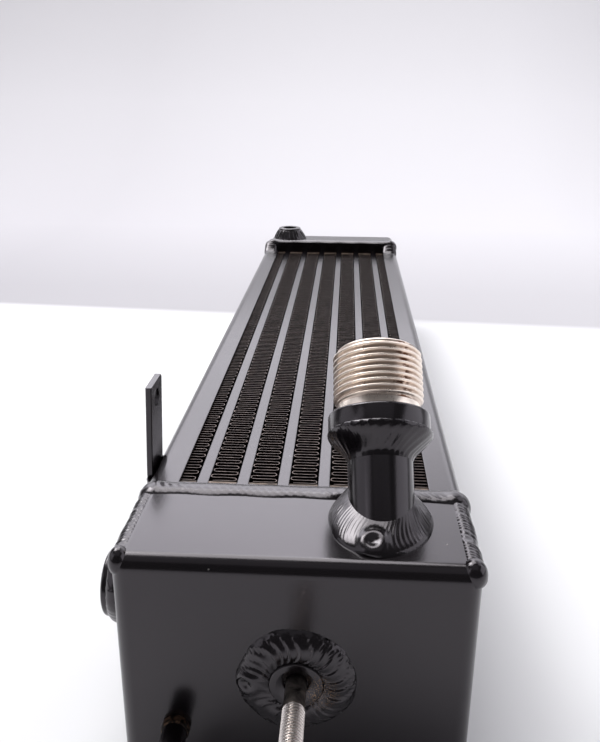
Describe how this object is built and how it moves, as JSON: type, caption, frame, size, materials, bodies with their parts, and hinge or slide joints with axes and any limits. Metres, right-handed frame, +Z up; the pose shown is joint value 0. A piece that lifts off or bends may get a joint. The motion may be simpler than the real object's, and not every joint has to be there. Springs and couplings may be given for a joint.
{
  "type": "liquid cooling radiator",
  "caption": "Long bar-and-plate liquid cooler: a finned core between two welded tanks, with a leaning threaded union, a side port, a stud and a bracket.",
  "frame": {"origin": "middle of the bounding box in X and Y, at the level of the tanks' flat bottoms", "axes": "+Y along the core from the connection tank to the return tank, +X across the core, +Z up, the way the air blows through"},
  "size_m": [0.1048, 0.506, 0.1158],
  "materials": {
    "black_powder_coat": "satin black powder coat with fine grain",
    "fin_coat": "thin black coat over folded aluminium strip, worn to metal on the crests",
    "end_bar_metal": "brazed aluminium, thinly coated and brownish",
    "bare_aluminium": "bare brazed aluminium, inside only",
    "thread_metal": "bare machined thread, warm and bright, with brown stains",
    "stud_steel": "bare rolled thread, dull silver"
  },
  "bodies": {
    "root": {"air_fin_1": "fin_coat", "air_fin_2": "fin_coat", "air_fin_3": "fin_coat", "air_fin_4": "fin_coat", "air_fin_5": "fin_coat", "air_fin_6": "fin_coat", "air_fin_7": "fin_coat", "far_bung": "black_powder_coat", "far_bung_weld": "black_powder_coat", "far_core_weld": "black_powder_coat", "far_end_bar_1": "end_bar_metal", "far_end_bar_2": "end_bar_metal", "far_end_bar_3": "end_bar_metal", "far_end_bar_4": "end_bar_metal", "far_end_bar_5": "end_bar_metal", "far_end_bar_6": "end_bar_metal", "far_end_bar_7": "end_bar_metal", "far_header_frame": "black_powder_coat", "far_tank": "black_powder_coat", "front_boss": "black_powder_coat", "front_boss_weld": "black_powder_coat", "left_side_channel": "black_powder_coat", "liquid_passage_1": "black_powder_coat", "liquid_passage_2": "black_powder_coat", "liquid_passage_3": "black_powder_coat", "liquid_passage_4": "black_powder_coat", "liquid_passage_5": "black_powder_coat", "liquid_passage_6": "black_powder_coat", "liquid_passage_7": "black_powder_coat", "liquid_passage_8": "black_powder_coat", "locating_pin": "black_powder_coat", "mounting_bracket": "black_powder_coat", "mounting_stud": "stud_steel", "near_core_weld": "black_powder_coat", "near_end_bar_1": "end_bar_metal", "near_end_bar_2": "end_bar_metal", "near_end_bar_3": "end_bar_metal", "near_end_bar_4": "end_bar_metal", "near_end_bar_5": "end_bar_metal", "near_end_bar_6": "end_bar_metal", "near_end_bar_7": "end_bar_metal", "near_header_frame": "black_powder_coat", "near_tank": "black_powder_coat", "right_side_channel": "black_powder_coat", "side_port": "black_powder_coat", "side_port_weld": "black_powder_coat", "tank_baffle": "bare_aluminium", "turbulator_1": "bare_aluminium", "turbulator_2": "bare_aluminium", "turbulator_3": "bare_aluminium", "turbulator_4": "bare_aluminium", "turbulator_5": "bare_aluminium", "turbulator_6": "bare_aluminium", "turbulator_7": "bare_aluminium", "turbulator_8": "bare_aluminium", "union_base_weld": "black_powder_coat", "union_collar_weld": "black_powder_coat", "union_fitting": "thread_metal", "union_tube": "black_powder_coat"}
  },
  "joints": []
}
